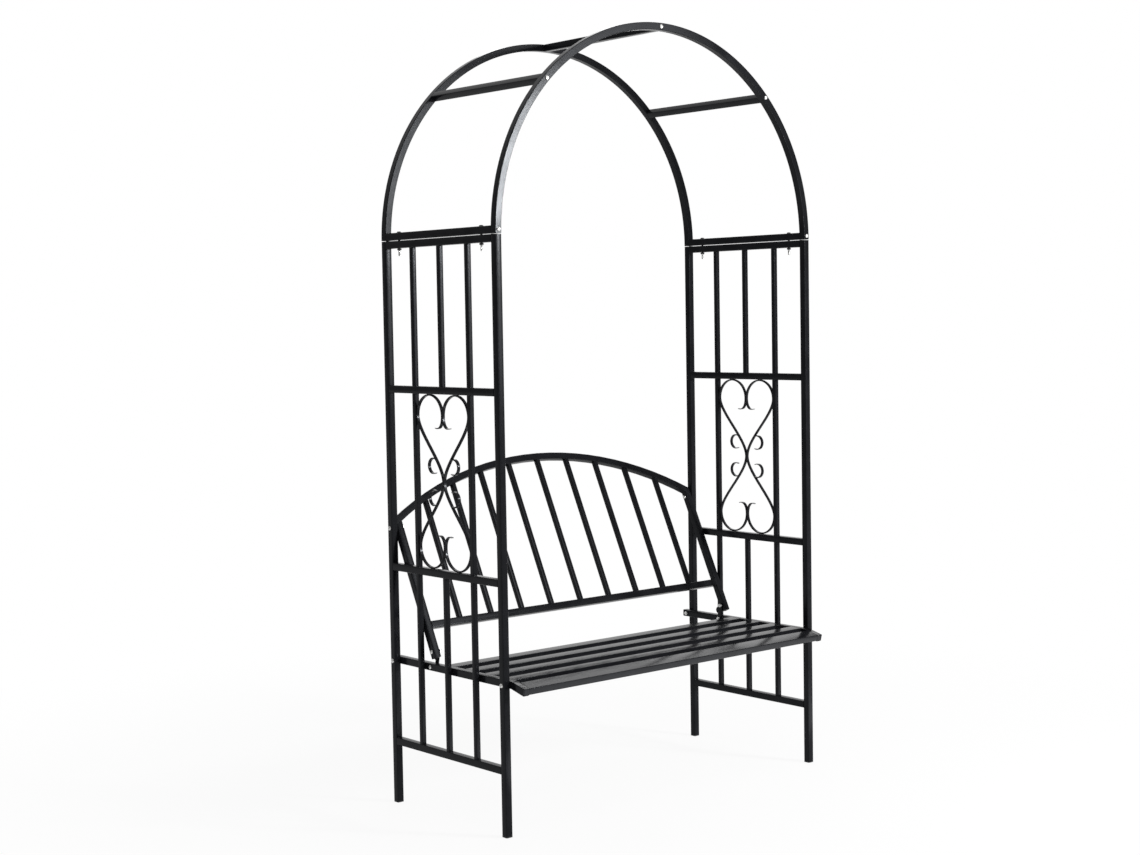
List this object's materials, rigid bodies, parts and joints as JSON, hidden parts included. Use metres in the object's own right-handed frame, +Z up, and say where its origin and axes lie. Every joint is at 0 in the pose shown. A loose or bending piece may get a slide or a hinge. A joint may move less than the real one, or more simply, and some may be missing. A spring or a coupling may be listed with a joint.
{
  "type": "garden arbor bench",
  "caption": "Free-standing steel garden arbor with a slatted bench, a leaning arched backrest, scrolled side panels and a double arch overhead.",
  "frame": {"origin": "on the ground, under the middle of the overall box", "axes": "+X to the sitter's left, along the bench; +Y to the back; +Z up; the front faces -Y"},
  "size_m": [1.1138, 0.6054, 2.0183],
  "materials": {
    "powder_coat": "black semi-gloss powder coat with a fine orange peel",
    "black_steel": "black-plated steel bolts",
    "zinc": "bright zinc plate on screws, bolts and nuts",
    "foot_plastic": "matte black moulded plugs"
  },
  "bodies": {
    "root": {"back_arch": "powder_coat", "back_crown_cross_bar_screw": "zinc", "back_left_cross_bar_screw": "zinc", "back_left_foot_rail_screw": "zinc", "back_right_cross_bar_screw": "zinc", "back_right_foot_rail_screw": "zinc", "backrest_grille": "powder_coat", "backrest_hoop": "powder_coat", "crown_cross_bar": "powder_coat", "front_arch": "powder_coat", "front_crown_cross_bar_screw": "zinc", "front_left_cross_bar_screw": "zinc", "front_left_foot_rail_screw": "zinc", "front_right_cross_bar_screw": "zinc", "front_right_foot_rail_screw": "zinc", "left_back_foot_plug": "foot_plastic", "left_back_foot_rail_bolt": "black_steel", "left_back_post": "powder_coat", "left_back_seat_bolt": "zinc", "left_backrest_bolt": "zinc", "left_bottom_rail": "powder_coat", "left_cross_bar": "powder_coat", "left_foot_rail": "powder_coat", "left_front_foot_plug": "foot_plastic", "left_front_foot_rail_bolt": "black_steel", "left_front_post": "powder_coat", "left_front_seat_bolt": "zinc", "left_lower_rail": "powder_coat", "left_scroll_panel": "powder_coat", "left_seat_rail": "powder_coat", "left_strap": "powder_coat", "left_strap_lower_bolt": "zinc", "left_strap_upper_bolt": "zinc", "left_top_rail": "powder_coat", "left_upper_rail": "powder_coat", "right_back_foot_plug": "foot_plastic", "right_back_foot_rail_bolt": "black_steel", "right_back_post": "powder_coat", "right_back_seat_bolt": "zinc", "right_backrest_bolt": "zinc", "right_bottom_rail": "powder_coat", "right_cross_bar": "powder_coat", "right_foot_rail": "powder_coat", "right_front_foot_plug": "foot_plastic", "right_front_foot_rail_bolt": "black_steel", "right_front_post": "powder_coat", "right_front_seat_bolt": "zinc", "right_lower_rail": "powder_coat", "right_scroll_panel": "powder_coat", "right_seat_rail": "powder_coat", "right_strap": "powder_coat", "right_strap_lower_bolt": "zinc", "right_strap_upper_bolt": "zinc", "right_top_rail": "powder_coat", "right_upper_rail": "powder_coat", "seat_front_slat": "powder_coat", "seat_slat_1": "powder_coat", "seat_slat_2": "powder_coat", "seat_slat_3": "powder_coat", "seat_slat_4": "powder_coat"}
  },
  "joints": []
}
